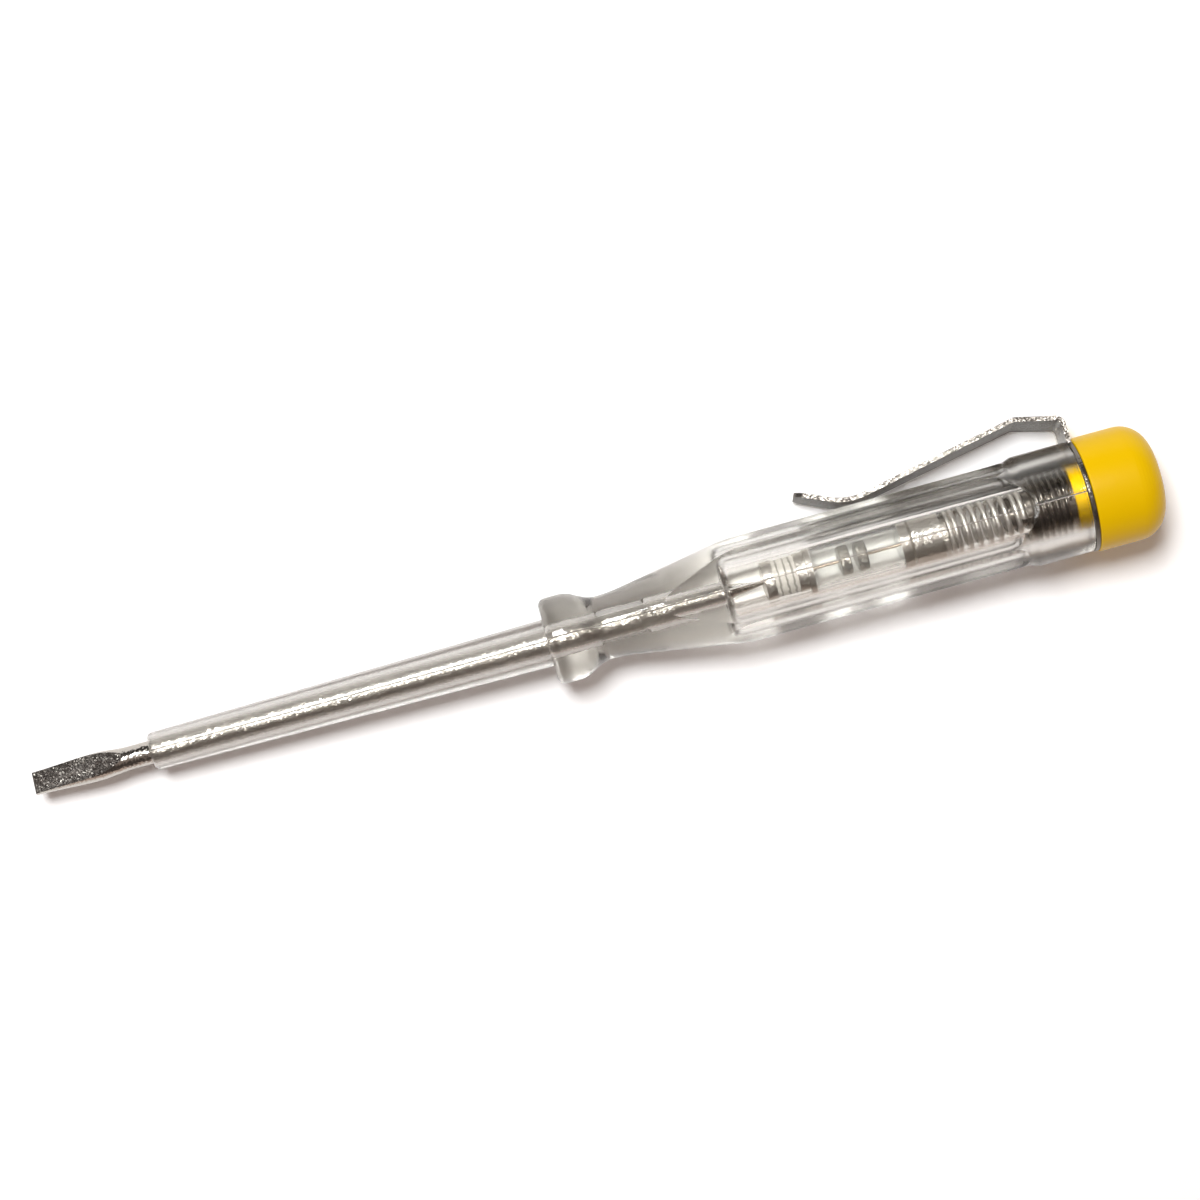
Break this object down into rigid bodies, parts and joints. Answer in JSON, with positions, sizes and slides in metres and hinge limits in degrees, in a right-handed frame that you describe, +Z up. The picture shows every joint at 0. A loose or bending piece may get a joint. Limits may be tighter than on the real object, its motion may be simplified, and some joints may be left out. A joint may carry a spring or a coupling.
{
  "type": "voltage tester screwdriver",
  "caption": "Slim mains tester: flat blade in a clear insulating sleeve, clear faceted handle with neon lamp, resistor and spring inside, yellow screw cap and steel pocket clip.",
  "frame": {"origin": "centre of the blade tip's end face", "axes": "+X along the tool's axis from the blade tip to the cap, +Z up when the tool lies on a table with its clip on the +Y side"},
  "size_m": [0.14, 0.0183, 0.0143],
  "materials": {
    "blade_steel": "nickel-plated, slightly grainy",
    "clear_plastic": "clear moulded cellulose acetate",
    "yellow_plastic": "moulded, slightly glossy",
    "clip_steel": "bright nickel-plated spring steel",
    "contact_nickel": "nickel-plated brass",
    "spring_steel": "bright drawn wire",
    "lamp_glass": "clear soda-lime glass",
    "electrode_metal": "coated nickel",
    "lead_wire": "copper-clad wire",
    "resistor_ceramic": "fired ceramic rod",
    "resistor_lacquer": "pale lacquer"
  },
  "bodies": {
    "handle": {"blade": "blade_steel", "blade_sleeve": "clear_plastic", "handle": "clear_plastic", "resistor_core": "resistor_ceramic", "resistor_coat": "resistor_lacquer", "resistor_front_cap": "contact_nickel", "resistor_rear_cap": "contact_nickel", "lamp_glass": "lamp_glass", "lamp_front_cap": "contact_nickel", "lamp_rear_cap": "contact_nickel", "lamp_front_lead": "lead_wire", "lamp_rear_lead": "lead_wire", "lamp_front_electrode": "electrode_metal", "lamp_rear_electrode": "electrode_metal", "contact_plug": "contact_nickel", "clip_ring": "clip_steel"},
    "spring": {"contact_spring": "spring_steel"},
    "cap": {"contact_screw": "contact_nickel", "cap": "yellow_plastic"},
    "clip": {"clip_arm": "clip_steel"}
  },
  "joints": [
    {"name": "cap_travel", "type": "slide", "parent": "handle", "child": "spring", "axis": [1, 0, 0], "range_m": [0, 0.0056]},
    {"name": "cap_turn", "type": "hinge", "parent": "spring", "child": "cap", "pos_m": [0.1302, 0, 0], "axis": [1, 0, 0], "range_deg": [0, 2700]},
    {"name": "clip_flex", "type": "hinge", "parent": "handle", "child": "clip", "pos_m": [0.13049, 0.00674, -0.003], "axis": [0, -0.4067, -0.9135], "range_deg": [0, 6], "stiffness_Nm_per_rad": 0.5, "springref_deg": -1.72}
  ],
  "couplings": [
    {"joint": "cap_turn", "follows": "cap_travel", "rad_per_m": 8377.6}
  ]
}
